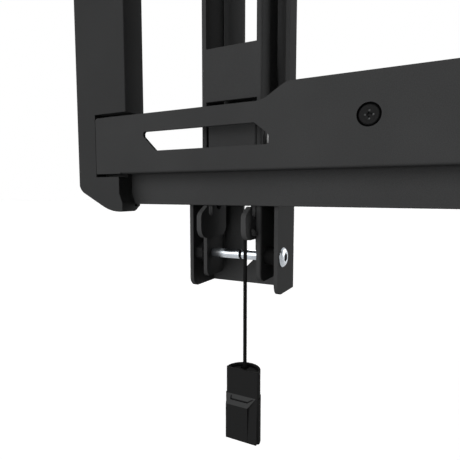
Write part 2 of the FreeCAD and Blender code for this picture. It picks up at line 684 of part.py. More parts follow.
def tilt_nut():
    """Hexagonal nut on the inner face of the outer channel's far flange."""
    low = -TV_HALF + TV_SHEET
    high = low + NUT_HEIGHT
    body = hexagon(NUT_FLATS, low, high, PIVOT_OUT, PIVOT_Z)
    return body.cut(rod_x(BOLT_RADIUS + BOLT_HOLE_GAP, low, high, PIVOT_OUT, PIVOT_Z))


def tilt_bushes():
    """Two spacers on the tilt bolt: from the nut to the inner channel, and on its other side."""
    spans = [
        (-TV_HALF + TV_SHEET + NUT_HEIGHT + BUSH_GAP, -HOOK_HALF - BUSH_GAP),
        (HOOK_HALF + BUSH_GAP, TV_HALF - TV_SHEET - BUSH_GAP),
    ]
    bushes = []
    for low, high in spans:
        bush = rod_x(BUSH_RADIUS, low, high, PIVOT_OUT, PIVOT_Z)
        bushes.append(bush.cut(rod_x(BOLT_RADIUS + BOLT_HOLE_GAP, low, high, PIVOT_OUT, PIVOT_Z)))
    return Part.makeCompound(bushes)


def guide_bolt():
    """Bolt across the hook channel, its end flush with the far flange."""
    return button_bolt(HOOK_HALF, -HOOK_HALF, GUIDE_OUT, GUIDE_BOLT_Z)


def guide_pin():
    """Plain pin across the hook channel, headed outside each flange."""
    body = rod_x(BOLT_RADIUS, -HOOK_HALF, HOOK_HALF, GUIDE_OUT, GUIDE_PIN_Z)
    for hand in (-1, 1):
        low, high = sorted((hand * HOOK_HALF, hand * (HOOK_HALF + PIN_HEAD_HEIGHT)))
        body = body.fuse(rod_x(PIN_HEAD_RADIUS, low, high, GUIDE_OUT, GUIDE_PIN_Z))
    return body.removeSplitter()


def latch_wing_corners():
    """Lower part of a latch wing in Y and Z: nose, tooth and the notch for the lip."""
    low = LOWER_LINE - LATCH_LOW
    notch_front = LIP_SETBACK - NOTCH_FRONT_GAP
    floor = TOOTH_TOP - NOTCH_DEPTH
    round_floor = (LATCH_FRONT - notch_front) * NOTCH_ROUND_SHARE
    return [
        (notch_front, TOOTH_TOP, TOOTH_ROUND / 2),
        (notch_front - TOOTH_LENGTH, TOOTH_TOP, TOOTH_ROUND),
        (NOSE_OUT, TOOTH_TOP - NOSE_SLOPE, NOSE_ROUND), (NOSE_OUT, low, LATCH_ROUND),
        (LATCH_REAR, low, LATCH_ROUND), (LATCH_REAR, LATCH_WEB_LOW, 0),
        (LATCH_FRONT, LATCH_WEB_LOW, 0), (LATCH_FRONT, floor, round_floor),
        (notch_front, floor, round_floor),
    ]


def latch():
    """Bent plate with two hooked wings and slots for its guide bolt and pin."""
    profile = channel_profile(LATCH_HALF, LATCH_FRONT, LATCH_REAR, LATCH_SHEET, LATCH_BEND,
                              LATCH_OUTER_BEND)
    body = prism_z(profile, LATCH_WEB_LOW, LATCH_TOP_Z)
    side = [
        (LATCH_FRONT, LATCH_WEB_LOW, 0), (LATCH_REAR, LATCH_WEB_LOW, 0),
        (LATCH_REAR, LATCH_TOP_Z, LATCH_TOP_ROUND), (LATCH_FRONT, LATCH_TOP_Z, 0),
    ]
    body = body.common(prism_x(side, -LATCH_HALF, LATCH_HALF))
    for low in (-LATCH_HALF, LATCH_HALF - LATCH_SHEET):
        body = body.fuse(prism_x(latch_wing_corners(), low, low + LATCH_SHEET))
    radius = BOLT_RADIUS + GUIDE_SLOT_GAP
    for z in (GUIDE_BOLT_Z, GUIDE_PIN_Z):
        body = body.cut(slot_across_x(radius, z - LATCH_TRAVEL, z, GUIDE_OUT, LATCH_WIDTH))
    hole = rod_x(CORD_RADIUS + CORD_HOLE_GAP, 0, LATCH_WIDTH, CORD_OUT, LOWER_LINE - CORD_DOWN)
    return body.cut(hole).removeSplitter()


def pull_cord():
    """Cord through the latch's hole, round one tight bend and straight down to the tab."""
    hole = LOWER_LINE - CORD_DOWN
    route = [
        vector(LATCH_HALF, CORD_OUT, hole), vector(CORD_X, CORD_OUT, hole),
        vector(CORD_X, CORD_OUT, LOWER_LINE - CORD_END_DOWN),
    ]
    first = (route[0] - route[1]).Length
    radius = CORD_BEND_SHARE * first
    print("cord bend radius", round(radius, 2), "mm")
    into = route[1] + vector(radius, 0, 0)
    out = route[1] - vector(0, 0, radius)
    turn = radius * (1 - math.sqrt(0.5))
    middle = route[1] + vector(turn, 0, -turn)
    path = Part.Wire([
        Part.makeLine(route[0], into), Part.Arc(into, middle, out).toShape(),
        Part.makeLine(out, route[2]),
    ])
    section = Part.makeCircle(CORD_RADIUS, route[0], vector(1, 0, 0))
    tube = path.makePipeShell([Part.Wire([section])], True, False)
    expected = math.pi * CORD_RADIUS ** 2 * path.Length
    print("cord volume", round(tube.Volume, 2), "expected", round(expected, 2))
    return tube


def cord_knot():
    """Long knot that holds the cord's upper end against the latch's outer face."""
    near = vector(0, -KNOT_SPAN / 2, 0)
    far = vector(0, KNOT_SPAN / 2, 0)
    body = Part.makeCylinder(KNOT_RADIUS, KNOT_SPAN, near, far)
    body = body.fuse([Part.makeSphere(KNOT_RADIUS, near), Part.makeSphere(KNOT_RADIUS, far)])
    body.rotate(vector(0, 0, 0), vector(1, 0, 0), -KNOT_TILT)
    body.translate(vector(LATCH_HALF + KNOT_LEAN, CORD_OUT, LOWER_LINE - CORD_DOWN))
    reach = KNOT_SPAN + KNOT_RADIUS
    outside = block(LATCH_HALF, LATCH_HALF + 2 * reach, CORD_OUT - reach, CORD_OUT + reach,
                    LOWER_LINE - CORD_DOWN - reach, LOWER_LINE - CORD_DOWN + reach)
    return body.common(outside).removeSplitter()


def tab_outline(inset, wider):
    """D-shaped outline of the tab in X and Y round its own middle."""
    half = TAB_HALF - inset + wider
    front = -TAB_FRONT + inset
    side = -TAB_FRONT + TAB_SIDE
    left = vector(-half, front, 0)
    right = vector(half, front, 0)
    left_up = vector(-half, side, 0)
    right_up = vector(half, side, 0)
    crown = vector(0, side + TAB_HALF - inset, 0)
    return Part.Wire([
        Part.makeLine(left, right), Part.makeLine(right, right_up),
        Part.Arc(right_up, crown, left_up).toShape(), Part.makeLine(left_up, left),
    ])


def tab_block(wider, drop):
    """Round-backed block of the tab from drop below its top to its foot."""
    body = Part.Face(tab_outline(0, wider)).extrude(vector(0, 0, drop - TAB_HEIGHT))
    body.translate(vector(0, 0, -drop))
    uprights = [e for e in body.Edges if abs(e.tangentAt(e.FirstParameter).z) > 0.9
                and e.Vertexes[0].Point.y < -TAB_FRONT + 0.01]
    return body.makeFillet(TAB_ROUND, uprights)


def grip_slope():
    """Raised thumb grip on the tab's front, beside a front that leans out to its foot."""
    face = -TAB_FRONT
    half = TAB_HALF + GRIP_WIDER - TAB_ROUND
    foot = -GRIP_DROP - GRIP_HEIGHT
    across = [
        (-half, face + TAB_ROUND, 0), (-half, face - GRIP_PROUD, 0),
        (GRIP_END + GRIP_SLANT, face - GRIP_PROUD, 0),
        (GRIP_END + GRIP_SLANT, face + TAB_ROUND, 0),
    ]
    slope = [
        (face + TAB_ROUND, -GRIP_DROP, 0), (face + TAB_ROUND, -TAB_HEIGHT, 0),
        (face - GRIP_PROUD, -TAB_HEIGHT, 0), (face - GRIP_PROUD, foot, 0),
        (face, -GRIP_DROP, 0),
    ]
    raised = prism_z(across, -TAB_HEIGHT, -GRIP_DROP).common(prism_x(slope, -half, half))
    slant = [
        (GRIP_END + GRIP_SLANT, -GRIP_DROP, 0), (GRIP_END, foot, 0),
        (GRIP_END, -TAB_HEIGHT, 0), (TAB_HALF, -TAB_HEIGHT, 0), (TAB_HALF, -GRIP_DROP, 0),
    ]
    raised = raised.cut(prism_y(slant, face - 2 * GRIP_PROUD, face))
    lean = [
        (face, -GRIP_DROP, 0), (face + TAB_ROUND, -TAB_HEIGHT, 0),
        (face - GRIP_PROUD, -TAB_HEIGHT, 0),
    ]
    return raised.fuse(prism_x(lean, -half, half))


def grip_groove():
    """Groove that runs down, along and slanting up again in the grip's slope."""
    left = GRIP_MARGIN - TAB_HALF
    low = -GRIP_DROP - GRIP_GROOVE_DROP
    right = GRIP_END + GRIP_SLANT - GRIP_MARGIN_RIGHT
    foot = right - GRIP_GROOVE_RUN
    corners = [
        (left, -GRIP_DROP, 0), (left, low - GRIP_GROOVE, 0), (foot, low - GRIP_GROOVE, 0),
        (right + GRIP_GROOVE, -GRIP_DROP, 0), (right, -GRIP_DROP, 0), (foot, low, 0),
        (left + GRIP_GROOVE, low, 0), (left + GRIP_GROOVE, -GRIP_DROP, 0),
    ]
    return prism_y(corners, -TAB_FRONT - GRIP_PROUD, -TAB_FRONT - GRIP_PROUD / 2
                   + GRIP_GROOVE_DEPTH)


def pull_tab():
    """Pull tab with a round back, a rim round its sunk top and a raised thumb grip."""
    body = tab_block(0, 0).fuse(tab_block(GRIP_WIDER, GRIP_DROP))
    body = body.fuse(grip_slope()).cut(grip_groove())
    sunk = Part.Face(tab_outline(TAB_RIM, 0)).extrude(vector(0, 0, -TAB_RECESS))
    depth = CORD_END_DOWN - TAB_TOP_DOWN
    hole = Part.makeCylinder(TAB_HOLE_RADIUS, depth, vector(-TAB_SHIFT, 0, -depth))
    body = body.cut(sunk).cut(hole).removeSplitter()
    body.translate(vector(CORD_X + TAB_SHIFT, CORD_OUT, TAB_TOP))
    return body


BRACKET_PIECES = {
    "hook_channel": hook_channel,
    "tv_channel": tv_channel,
    "tilt_bolt": tilt_bolt,
    "tilt_nut": tilt_nut,
    "tilt_bushes": tilt_bushes,
    "guide_bolt": guide_bolt,
    "guide_pin": guide_pin,
    "latch": latch,
    "pull_cord": pull_cord,
    "cord_knot": cord_knot,
    "pull_tab": pull_tab,
}

FRAME_PIECES = {
    "lower_rail": lower_rail,
    "upper_rail": upper_rail,
    "side_frame_left": side_frame_left,
    "side_frame_right": side_frame_right,
    "level_screws": level_screws,
    "level_holder": level_holder,
    "level_vial": level_vial,
}


def save(shape, node):
    shape.exportStep(os.path.join("parts", node + ".step"))
    box = shape.BoundBox
    spans = [box.XMin, box.XMax, box.YMin, box.YMax, box.ZMin, box.ZMax]
    print(node, "solids", len(shape.Solids), "valid", shape.isValid(),
          "volume", round(shape.Volume, 1), "box", [round(s, 2) for s in spans])


def main():
    os.makedirs("parts", exist_ok=True)
    for node, make in FRAME_PIECES.items():
        save(make(), node)
    for piece, make in BRACKET_PIECES.items():
        shape = make()
        for side, offset in SIDES.items():
            copy = shape.copy()
            copy.translate(vector(offset, 0, 0))
            save(copy, piece + "_" + side)


main()
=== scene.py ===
import json
import math
from typing import NamedTuple

import bpy
import numpy as np
from mathutils import Euler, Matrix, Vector


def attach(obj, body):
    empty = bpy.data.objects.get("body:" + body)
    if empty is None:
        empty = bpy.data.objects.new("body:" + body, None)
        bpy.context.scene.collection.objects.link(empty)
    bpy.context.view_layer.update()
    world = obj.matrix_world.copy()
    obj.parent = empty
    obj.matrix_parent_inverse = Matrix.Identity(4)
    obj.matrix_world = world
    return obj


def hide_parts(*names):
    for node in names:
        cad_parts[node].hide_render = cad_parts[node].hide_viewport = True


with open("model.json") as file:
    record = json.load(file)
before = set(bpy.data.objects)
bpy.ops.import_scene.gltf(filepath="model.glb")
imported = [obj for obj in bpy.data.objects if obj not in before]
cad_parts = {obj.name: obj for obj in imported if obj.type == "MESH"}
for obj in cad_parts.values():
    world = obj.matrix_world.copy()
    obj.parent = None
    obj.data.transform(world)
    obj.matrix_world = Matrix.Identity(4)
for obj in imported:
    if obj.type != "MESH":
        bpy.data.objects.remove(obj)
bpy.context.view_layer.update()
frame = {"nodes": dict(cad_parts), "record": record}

# Tilting wall mount for a flat screen, in the part's own frame: +X to the right as seen
# from the wall, +Y away from the wall, +Z up. Lengths in this file are in metres.

MM = 0.001
FULL_TURN = 2 * math.pi

# Where the brackets stand, and the lower rail's window line, from which heights are taken
BRACKET_OFFSET = 113.5 * MM
BRACKET_X = {"left": -BRACKET_OFFSET, "right": BRACKET_OFFSET}
LOWER_LINE = -180.0 * MM

# Pull cords, with the same route points as the part
CORD_DIAMETER = 2.2 * MM
CORD_X = 11.6 * MM
CORD_OUT = 11.0 * MM
CORD_HOLE_Z = LOWER_LINE - 54.55 * MM
CORD_END_Z = LOWER_LINE - 145.2 * MM
CORD_ROUND_STEPS = 6
CORD_LINE_STEPS = 24
LATCH_HALF = 16.0 * MM

# Knots: a round strand along a trefoil, which reaches just under 2.76 across and 3 upright
# before it is squeezed to the knot's size
KNOT_RADIUS = 0.92 * MM
KNOT_HALF_SPAN = 2.55 * MM
KNOT_HALF_HEIGHT = 1.15 * MM
KNOT_WAVE = 0.3 * MM
KNOT_TILT = 20.0
KNOT_RINGS = 180
KNOT_SIDES = 16
TREFOIL_SPAN = 2.76
TREFOIL_HEIGHT = 3.0

# Level vial, its fluid, its bubble and the marks round it. The first three round off at
# both ends over the lengths that are named END.
VIAL_MIDDLE = (0.0, 7.7 * MM, -174.85 * MM)
VIAL_RADIUS = 3.4 * MM
VIAL_HALF = 17.0 * MM
VIAL_END = 1.2 * MM
VIAL_WALL = 0.6 * MM
FLUID_HALF = 15.0 * MM
FLUID_END = 1.6 * MM
BUBBLE_HALF = 3.4 * MM
BUBBLE_RADIUS = 1.53 * MM
BUBBLE_END = 2.04 * MM
BUBBLE_RISE = 1.3 * MM
MARK_PLACES = (-4.6 * MM, 4.6 * MM)
MARK_HALF = 0.25 * MM
MARK_SUNK = 0.1 * MM
MARK_PROUD = 0.04 * MM
TURNED_SIDES = 48

# Rounded ends: rings in each, the small angle at its tip, and the power that fills it out
END_RINGS = 12
END_TIP_ANGLE = 0.02
END_FULLNESS = 0.6

# Camera: midway between the brackets, behind the wall plane and below the lower rail's line.
# Its focal length is 411 pixels in a picture that is 460 pixels wide.
CAMERA_PLACE = (0.0, -205.0 * MM, -211.55 * MM)
CAMERA_PITCH = 5.2
CAMERA_YAW = 27.4
CAMERA_CLIP = (0.01, 90.0)
SENSOR_WIDTH = 36.0
FOCAL_PIXELS = 411.0
PICTURE_PIXELS = 460.0

# Studio. Each lamp has its name, the way it shines, its strength and its width in degrees.
LAMPS = (
    ("wall_side", (0.3, 1.0, -0.1), 3.9, 75.0),
    ("right_side", (-1.0, -1.0, -0.2), 3.0, 45.0),
    ("room_side", (0.5, -1.0, -0.3), 2.6, 50.0),
)
WHITE = (1.0, 1.0, 1.0, 1.0)
ROOM_LIGHT = 0.05
BACKGROUND_LIGHT = 1.0
FLOOR_Z = -0.9
FLOOR_HALF = 30.0
FLOOR_TONE = 0.86
FLOOR_RETURN = 0.15
FLOOR_GLOW = 0.45


class Finish(NamedTuple):
    """Numbers of one finish.

    Tone runs over a range of grey, or from one tint to another, and roughness over a range.
    Grain, relief and eased edge are lengths, and detail is how many finer layers the grain
    has. Speckle is the range that the grain scales the tone by. Mirror is the specular level,
    metal says whether places outside the painted shade are bare metal, and cool is the lift
    in blue and the drop in red. Clear is the share of light that goes through, and bend how
    strongly it is bent.
    """

    tone: tuple
    roughness: tuple
    grain: float
    detail: float = 3.0
    speckle: tuple = (1.0, 1.0)
    relief: float = 0.0
    edge: float = 0.0
    mirror: float = 0.005
    metal: bool = False
    cool: float = 1.01
    clear: float = 0.0
    bend: float = 1.5


COAT = Finish(tone=(0.0385, 0.0425), roughness=(0.68, 0.78), grain=0.5 * MM,
              speckle=(0.9, 1.1), relief=0.06 * MM, edge=0.3 * MM)
# The latch's coat is the same powder coat painted paler: painted light on the latch behind the
# rail
LIT_LATCH_COAT = COAT._replace(tone=(0.048, 0.053))
MOULDED = Finish(tone=(0.033, 0.037), roughness=(0.62, 0.74), grain=0.35 * MM, detail=4.0,
                 speckle=(0.85, 1.15), relief=0.05 * MM, edge=0.3 * MM)
# The pull tab's second tone is the painted highlight on its grip's slope
TAB = Finish(tone=(0.0145, 0.041), roughness=(0.5, 0.6), grain=0.5 * MM, relief=0.01 * MM,
             edge=0.25 * MM)
# The bushes' tone is set far darker than black plastic: painted shade where they sit between
# the flanges
BUSH = Finish(tone=(0.003, 0.006), roughness=(0.6, 0.75), grain=0.3 * MM, relief=0.01 * MM,
              edge=0.2 * MM, mirror=0.02)
ZINC = Finish(tone=(0.40, 0.48), roughness=(0.2, 0.3), grain=0.4 * MM, relief=0.002 * MM,
              edge=0.25 * MM, mirror=0.5, metal=True, cool=1.07)
# The guide bolts' finish is the zinc made dark and not metal: painted shade on the guide bolts
SHADED_ZINC = ZINC._replace(tone=(0.012, 0.02), roughness=(0.25, 0.35), mirror=0.35,
                           metal=False, cool=1.01)
OXIDE = Finish(tone=(0.007, 0.011), roughness=(0.42, 0.52), grain=0.8 * MM,
               relief=0.01 * MM, edge=0.15 * MM, mirror=0.03)
BRAID = Finish(tone=(0.005, 0.012), roughness=(0.8, 0.95), grain=0.12 * MM, relief=0.1 * MM)
KNOT = Finish(tone=(0.008, 0.04), roughness=(0.65, 0.85), grain=0.3 * MM, detail=4.0,
              relief=0.15 * MM, mirror=0.15)
TUBE = Finish(tone=(0.9, 0.97), roughness=(0.02, 0.06), grain=0.8 * MM, mirror=0.5,
              clear=1.0, bend=1.49)
FLUID = Finish(tone=((0.46, 0.66, 0.05), (0.62, 0.80, 0.12)), roughness=(0.1, 0.16),
               grain=6.0 * MM, mirror=0.5, clear=0.35, bend=1.35)
BUBBLE = Finish(tone=((0.80, 0.88, 0.45), (0.90, 0.95, 0.62)), roughness=(0.05, 0.1),
                grain=2.0 * MM, mirror=0.5, clear=0.3, bend=1.1)
PAINT = Finish(tone=(0.01, 0.016), roughness=(0.4, 0.5), grain=0.4 * MM, mirror=0.5)

# Noise mostly lies in this range of grey. Drift is the slow change in tone over a piece.
NOISE_RANGE = (0.3, 0.7)
NOISE_ROUGHNESS = 0.6
DRIFT_DETAIL = 2.0
COAT_DRIFT = 45.0 * MM
MOULDED_DRIFT = 70.0 * MM
BOLT_CLOUD = 5.0 * MM
EDGE_SAMPLES = 4

# How patterns are drawn out along X, Y and Z: a small number draws one out
BUSH_RINGS = (1.0, 0.05, 0.05)
BOLT_RINGS = (1.0, 0.03, 0.03)
FIBRE_DRAWN = (1.0, 1.0, 0.3)
TUBE_LINES = (0.05, 1.0, 1.0)

# Braid: waves round the cord, the length of one along it, and the fibres' share of the
# relief. A wave makes two ribs.
BRAID_WAVES = 4
BRAID_WAVE_LENGTH = 1.7 * MM
FIBRE_SHARE = 0.4
BRAID_RANGE = (0.2, 1.0)

# Axes of the tilt bolt, guide bolt and guide pin as (y, z), and the dark hexagon of painted
# shade round each, which is painted over the socket in a bolt's head. The pin's head has no
# socket.
BOLT_AXES = (
    (24.0 * MM, LOWER_LINE - 69.8 * MM),
    (23.7 * MM, LOWER_LINE - 0.85 * MM),
    (23.7 * MM, LOWER_LINE - 32.95 * MM),
)
SOCKET_HALF = 2.3 * MM
SOCKET_RIM = 0.03 * MM
SOCKET_PAINTED_SHADE = 0.01

# Painted shade on the bolts beside the latch's far wing: the dark channel's reflection painted
# into their colour, by X from the bracket's middle. It is full up to the first distance from
# there and gone from the second.
PAINTED_SHADE_X = -19.0 * MM
PAINTED_SHADE_RANGE = (7.0 * MM, 11.0 * MM)
PAINTED_SHADE_TONE = 0.05

# Axes of the level screws as (x, z), the radii that their sinks end between, inside which the
# coat carries painted shade, and the places of the painted highlights in their cross recesses
LEVEL_SCREW_X = 32.8 * MM
LEVEL_SCREW_Z = LOWER_LINE + 5.15 * MM
LEVEL_SCREW_AXES = ((-LEVEL_SCREW_X, LEVEL_SCREW_Z), (LEVEL_SCREW_X, LEVEL_SCREW_Z))
SINK_RIM = (5.68 * MM, 5.76 * MM)
SINK_PAINTED_SHADE = 0.05
CROSS_FROM = 1.5 * MM
CROSS_REACH = 3.3 * MM
CROSS_TOP = 0.55 * MM
CROSS_RIM = 0.1 * MM
CROSS_PAINTED_HIGHLIGHT = 8.0

# Pull tab, by how far a face looks upwards: the slope of its grip carries a painted highlight,
# and faces that look well up or down carry painted shade and are darkest
GRIP_FACING = 0.27
GRIP_UNEVEN = 0.04
GRIP_RIM = (0.08, 0.16)
END_RIM = (0.4, 0.6)
UP_DOWN_PAINTED_SHADE = 0.2


def new_material(name):
    """An empty node material and its tree."""
    material = bpy.data.materials.new(name)
    material.use_nodes = True
    material.node_tree.nodes.clear()
    return material, material.node_tree


def node(tree, kind, **values):
    """A node of that kind with its sockets set by name."""
    made = tree.nodes.new(kind)
    for name, value in values.items():
        made.inputs[name.replace("_", " ")].default_value = value
    return made


def reckon(tree, operation, first, second=None):
    """Result of a Math node on sockets or plain numbers."""
    made = tree.nodes.new("ShaderNodeMath")
    made.operation = operation
    for socket, value in zip(made.inputs, (first, second)):
        if isinstance(value, (int, float)):
            socket.default_value = value
        elif value is not None:
            tree.links.new(value, socket)
    return made.outputs["Value"]


def total(tree, first, second):
    """First plus second."""
    return reckon(tree, "ADD", first, second)


def difference(tree, first, second):
    """First less second."""
    return reckon(tree, "SUBTRACT", first, second)


def product(tree, first, second):
    """First times second."""
    return reckon(tree, "MULTIPLY", first, second)


def spread(tree, source, low, high, from_low=NOISE_RANGE[0], from_high=NOISE_RANGE[1]):
    """Maps one range of a grey value on to another, and holds it within that."""
    made = tree.nodes.new("ShaderNodeMapRange")
    made.inputs["From Min"].default_value = from_low
    made.inputs["From Max"].default_value = from_high
    made.inputs["To Min"].default_value = low
    made.inputs["To Max"].default_value = high
    tree.links.new(source, made.inputs["Value"])
    return made.outputs["Result"]


def step_up(tree, source, edge, width):
    """0 below the edge and 1 above it, with a slope of that half width between."""
    return spread(tree, source, 0.0, 1.0, edge - width, edge + width)


def blended(tree, source, first, second):
    """Colour that runs from the first to the second as a grey value runs from 0 to 1."""
    ramp = tree.nodes.new("ShaderNodeValToRGB")
    for element, colour in zip(ramp.color_ramp.elements, (first, second)):
        element.color = (*colour, 1.0)
    tree.links.new(source, ramp.inputs["Fac"])
    return ramp.outputs["Color"]


def cool_grey(tree, finish, tone):
    """Grey of that tone, as cool as the finish is."""
    return blended(tree, tone, (0.0, 0.0, 0.0), (1.0 / finish.cool, 1.0, finish.cool))


def object_place(tree):
    """Object coordinates, which in this scene are places in metres in the part's frame."""
    return tree.nodes.new("ShaderNodeTexCoord").outputs["Object"]


def drawn_out(tree, place, scale):
    """Places scaled along each axis, to draw a pattern out into streaks or rings."""
    mapping = tree.nodes.new("ShaderNodeMapping")
    mapping.inputs["Scale"].default_value = scale
    tree.links.new(place, mapping.inputs["Vector"])
    return mapping.outputs["Vector"]


def fine_noise(tree, place, grain, detail):
    """Noise whose features are about one grain across."""
    made = node(tree, "ShaderNodeTexNoise", Scale=1.0 / grain, Detail=detail,
                Roughness=NOISE_ROUGHNESS)
    tree.links.new(place, made.inputs["Vector"])
    return made.outputs["Fac"]


def grain_of(tree, place, finish):
    """The finish's own grain."""
    return fine_noise(tree, place, finish.grain, finish.detail)


def parts_of(tree, place):
    """The X, Y and Z of a place, by name."""
    split = tree.nodes.new("ShaderNodeSeparateXYZ")
    tree.links.new(place, split.inputs["Vector"])
    return split.outputs


def round_reach(tree, first, second):
    """Radius of the circle through a place."""
    squared = total(tree, product(tree, first, first), product(tree, second, second))
    return reckon(tree, "SQRT", squared)


def hexagon_reach(tree, first, second):
    """Half the width across flats of the hexagon through a place, with a corner on top."""
    first = reckon(tree, "ABSOLUTE", first)
    second = reckon(tree, "ABSOLUTE", second)
    sloping = total(tree, product(tree, first, 0.5), product(tree, second, math.sqrt(3) / 2))
    return reckon(tree, "MAXIMUM", first, sloping)


def from_axes(tree, first, second, axes, reach):
    """The reach in metres from the nearest of some axes, across the two directions given."""
    nearest = None
    for at_first, at_second in axes:
        away = reach(tree, difference(tree, first, at_first),
                     difference(tree, second, at_second))
        nearest = away if nearest is None else reckon(tree, "MINIMUM", nearest, away)
    return nearest


def from_bracket(tree, x):
    """X measured from the middle of the nearest bracket."""
    between = 2 * BRACKET_OFFSET
    wrapped = reckon(tree, "FLOORED_MODULO", total(tree, x, between), between)
    return difference(tree, wrapped, BRACKET_OFFSET)


def surface(tree, finish, colour, rough_by, height=None):
    """Principled surface of that finish, and its output.

    Its colour is linked, its roughness follows a grey value, and its relief follows the
    height, over normals that run round sharp edges.
    """
    shader = node(tree, "ShaderNodeBsdfPrincipled", Specular_IOR_Level=finish.mirror,
                  Transmission_Weight=finish.clear, IOR=finish.bend)
    tree.links.new(colour, shader.inputs["Base Color"])
    tree.links.new(spread(tree, rough_by, *finish.roughness), shader.inputs["Roughness"])
    if height is not None:
        bump = node(tree, "ShaderNodeBump", Strength=1.0, Distance=finish.relief)
        tree.links.new(height, bump.inputs["Height"])
        tree.links.new(bump.outputs["Normal"], shader.inputs["Normal"])
        if finish.edge:
            eased = node(tree, "ShaderNodeBevel", Radius=finish.edge)
            eased.samples = EDGE_SAMPLES
            tree.links.new(eased.outputs["Normal"], bump.inputs["Normal"])
    output = tree.nodes.new("ShaderNodeOutputMaterial")
    tree.links.new(shader.outputs["BSDF"], output.inputs["Surface"])
    return shader


def powder_coated_steel(name, finish):
    """Black powder coat: orange-peel grain and a slow drift in tone, with painted shade in the
    level screws' sinks.
    """
    material, tree = new_material(name)
    place = object_place(tree)
    grain = grain_of(tree, place, finish)
    drift = fine_noise(tree, place, COAT_DRIFT, DRIFT_DETAIL)
    split = parts_of(tree, place)
    away = from_axes(tree, split["X"], split["Z"], LEVEL_SCREW_AXES, round_reach)
    # Painted shade in the level screws' sinks
    off_sink_shade = spread(tree, away, SINK_PAINTED_SHADE, 1.0, *SINK_RIM)
    tone = product(tree, spread(tree, drift, *finish.tone), off_sink_shade)
    speckled = product(tree, tone, spread(tree, grain, *finish.speckle))
    surface(tree, finish, cool_grey(tree, finish, speckled), drift, grain)
    return material


def moulded_black(name, finish):
    """Grained black plastic of the side frames and the level holder, drifting in tone."""
    material, tree = new_material(name)
    place = object_place(tree)
    grain = grain_of(tree, place, finish)
    drift = fine_noise(tree, place, MOULDED_DRIFT, DRIFT_DETAIL)
    tone = product(tree, spread(tree, drift, *finish.tone),
                   spread(tree, grain, *finish.speckle))
    surface(tree, finish, cool_grey(tree, finish, tone), grain, grain)
    return material


def tab_plastic(name, finish):
    """Black plastic of the pull tabs: a painted highlight on the grip's slope, and painted
    shade on faces that look well up or down.
    """
    material, tree = new_material(name)
    grain = grain_of(tree, object_place(tree), finish)
    facing = tree.nodes.new("ShaderNodeNewGeometry").outputs["Normal"]
    upward = total(tree, parts_of(tree, facing)["Z"], product(tree, grain, GRIP_UNEVEN))
    off_slope = reckon(tree, "ABSOLUTE", difference(tree, upward, GRIP_FACING))
    plain_tone, slope_painted_highlight = finish.tone
    tone = product(tree, spread(tree, off_slope, slope_painted_highlight, plain_tone, *GRIP_RIM),
                   spread(tree, off_slope, 1.0, UP_DOWN_PAINTED_SHADE, *END_RIM))
    surface(tree, finish, cool_grey(tree, finish, tone), grain, grain)
    return material


def bush_plastic(name, finish):
    """Dull turned plastic of the bushes, with fine rings."""
    material, tree = new_material(name)
    rings = grain_of(tree, drawn_out(tree, object_place(tree), BUSH_RINGS), finish)
    tone = spread(tree, rings, *finish.tone)
    surface(tree, finish, cool_grey(tree, finish, tone), rings, rings)
    return material


def turned_bolt(name, finish):
    """Turned bolt or pin: clouded tone and fine rings, and a dark hexagon of painted shade
    over the socket of its head.

    Beside the latch's far wing it has painted shade, a dark reflection painted into its
    colour.
    """
    material, tree = new_material(name)
    place = object_place(tree)
    cloud = fine_noise(tree, place, BOLT_CLOUD, DRIFT_DETAIL)
    rings = grain_of(tree, drawn_out(tree, place, BOLT_RINGS), finish)
    split = parts_of(tree, place)
    along = from_bracket(tree, split["X"])
    # Painted shade beside the latch's far wing: darker there, and not bare metal
    from_painted_shade = reckon(tree, "ABSOLUTE", difference(tree, along, PAINTED_SHADE_X))
    unshaded = spread(tree, from_painted_shade, 0.0, 1.0, *PAINTED_SHADE_RANGE)
    painted_shade = spread(tree, from_painted_shade, PAINTED_SHADE_TONE, 0.0, *PAINTED_SHADE_RANGE)
    tone = total(tree, product(tree, spread(tree, cloud, *finish.tone), unshaded), painted_shade)
    # Painted shade in the sockets: a dark hexagon round each axis
    away = from_axes(tree, split["Y"], split["Z"], BOLT_AXES, hexagon_reach)
    far_half = reckon(tree, "LESS_THAN", along, 0.0)
    off_socket_shade = reckon(tree, "MAXIMUM", far_half,
                        step_up(tree, away, SOCKET_HALF, SOCKET_RIM))
    shown = reckon(tree, "MAXIMUM", product(tree, tone, off_socket_shade), SOCKET_PAINTED_SHADE)
    shader = surface(tree, finish, cool_grey(tree, finish, shown), cloud, rings)
    if finish.metal:
        tree.links.new(unshaded, shader.inputs["Metallic"])
    return material


def blackened_screw(name, finish):
    """Black oxide on the tilt nuts and on the level screws, with painted highlights in the
    level screws' cross recesses.

    The painted highlight lies in a ring round each level screw's axis, and below the top of
    its head.
    """
    material, tree = new_material(name)
    place = object_place(tree)
    mottle = grain_of(tree, place, finish)
    split = parts_of(tree, place)
    away = from_axes(tree, split["X"], split["Z"], LEVEL_SCREW_AXES, round_reach)
    ring = difference(tree, step_up(tree, away, CROSS_FROM, CROSS_RIM),
                      step_up(tree, away, CROSS_REACH, CROSS_RIM))
    sunk = difference(tree, step_up(tree, split["Y"], CROSS_TOP, CROSS_RIM),
                      step_up(tree, split["Y"], CROSS_TOP + CROSS_REACH, CROSS_RIM))
    # Painted highlight on the slopes of the cross recesses
    painted_highlight = product(tree, product(tree, ring, sunk), CROSS_PAINTED_HIGHLIGHT)
    tone = product(tree, spread(tree, mottle, *finish.tone), total(tree, painted_highlight, 1.0))
    surface(tree, finish, cool_grey(tree, finish, tone), mottle, mottle)
    return material


